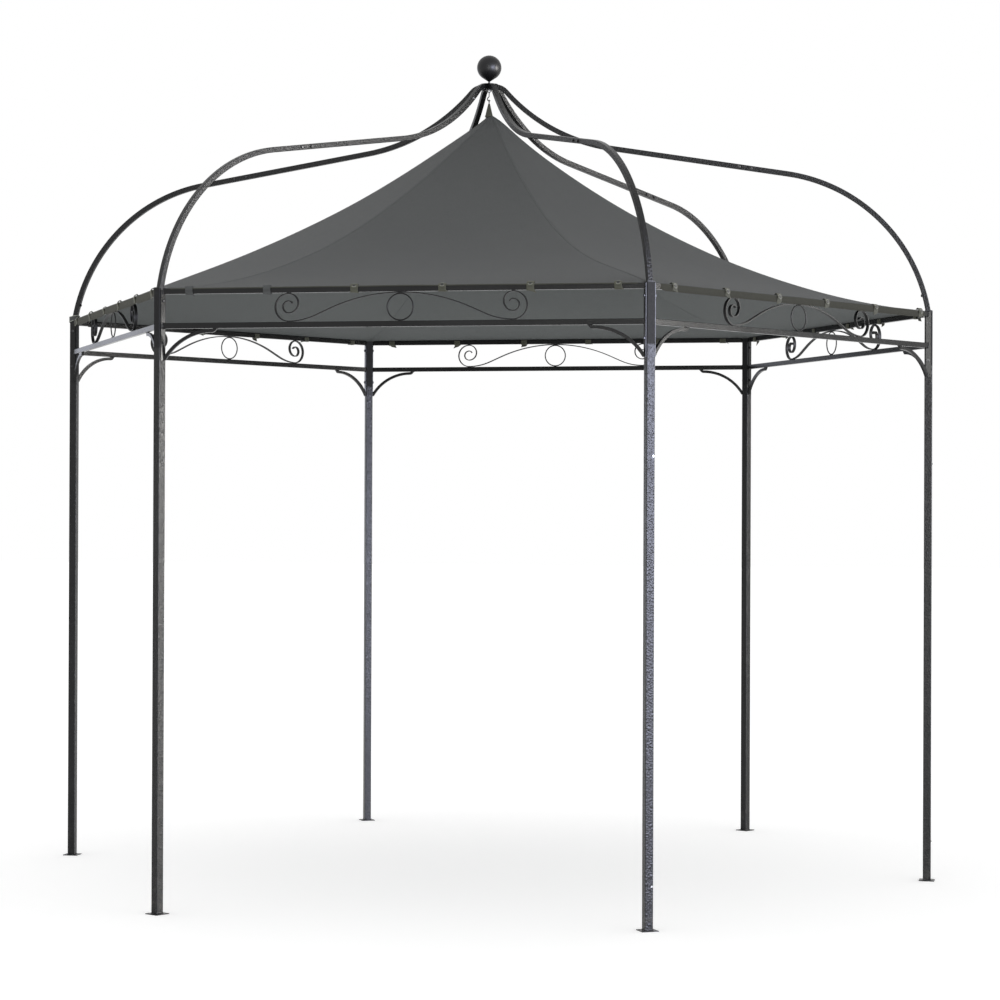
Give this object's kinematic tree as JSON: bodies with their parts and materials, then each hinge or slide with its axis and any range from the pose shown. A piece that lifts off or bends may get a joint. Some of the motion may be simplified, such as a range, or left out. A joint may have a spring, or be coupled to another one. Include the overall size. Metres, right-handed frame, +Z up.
{
  "type": "gazebo",
  "caption": "Hexagonal open garden gazebo: square tube posts, scrollwork between the eave rails, swept roof tubes up to a ball, and a hung cloth canopy.",
  "frame": {"origin": "on the ground at the middle of the hexagon of posts", "axes": "+Z up along the axis through the ball, -Y towards the front side, +X towards the right-hand post"},
  "size_m": [3.56, 3.113, 3.2604],
  "materials": {
    "frame_steel": "dark anthracite hammered powder coat",
    "ball_paint": "satin anthracite paint",
    "collar_plastic": "black moulded plastic",
    "hook_wire": "darkened zinc-plated wire",
    "canopy_cloth": "plain woven mid-grey polyester",
    "peak_cloth": "stiffened olive-grey cloth",
    "tab_cloth": "olive-grey webbing"
  },
  "bodies": {
    "root": {"post_1": "frame_steel", "post_2": "frame_steel", "post_3": "frame_steel", "post_4": "frame_steel", "post_5": "frame_steel", "post_6": "frame_steel", "side_frame_1": "frame_steel", "side_frame_2": "frame_steel", "side_frame_3": "frame_steel", "side_frame_4": "frame_steel", "side_frame_5": "frame_steel", "side_frame_6": "frame_steel", "scrollwork_1": "frame_steel", "scrollwork_2": "frame_steel", "scrollwork_3": "frame_steel", "scrollwork_4": "frame_steel", "scrollwork_5": "frame_steel", "scrollwork_6": "frame_steel", "outer_arch_1": "frame_steel", "outer_arch_2": "frame_steel", "outer_arch_3": "frame_steel", "outer_arch_4": "frame_steel", "outer_arch_5": "frame_steel", "outer_arch_6": "frame_steel", "inner_arm_1": "frame_steel", "inner_arm_2": "frame_steel", "inner_arm_3": "frame_steel", "inner_arm_4": "frame_steel", "inner_arm_5": "frame_steel", "inner_arm_6": "frame_steel", "foot_plates": "frame_steel", "post_caps": "collar_plastic", "crown_hub": "frame_steel", "ball_finial": "ball_paint", "canopy_hook": "hook_wire", "canopy_ring": "hook_wire", "canopy_panel_1": "canopy_cloth", "canopy_panel_2": "canopy_cloth", "canopy_panel_3": "canopy_cloth", "canopy_panel_4": "canopy_cloth", "canopy_panel_5": "canopy_cloth", "canopy_panel_6": "canopy_cloth", "canopy_peak_cap": "peak_cloth", "canopy_tabs": "tab_cloth"}
  },
  "joints": []
}
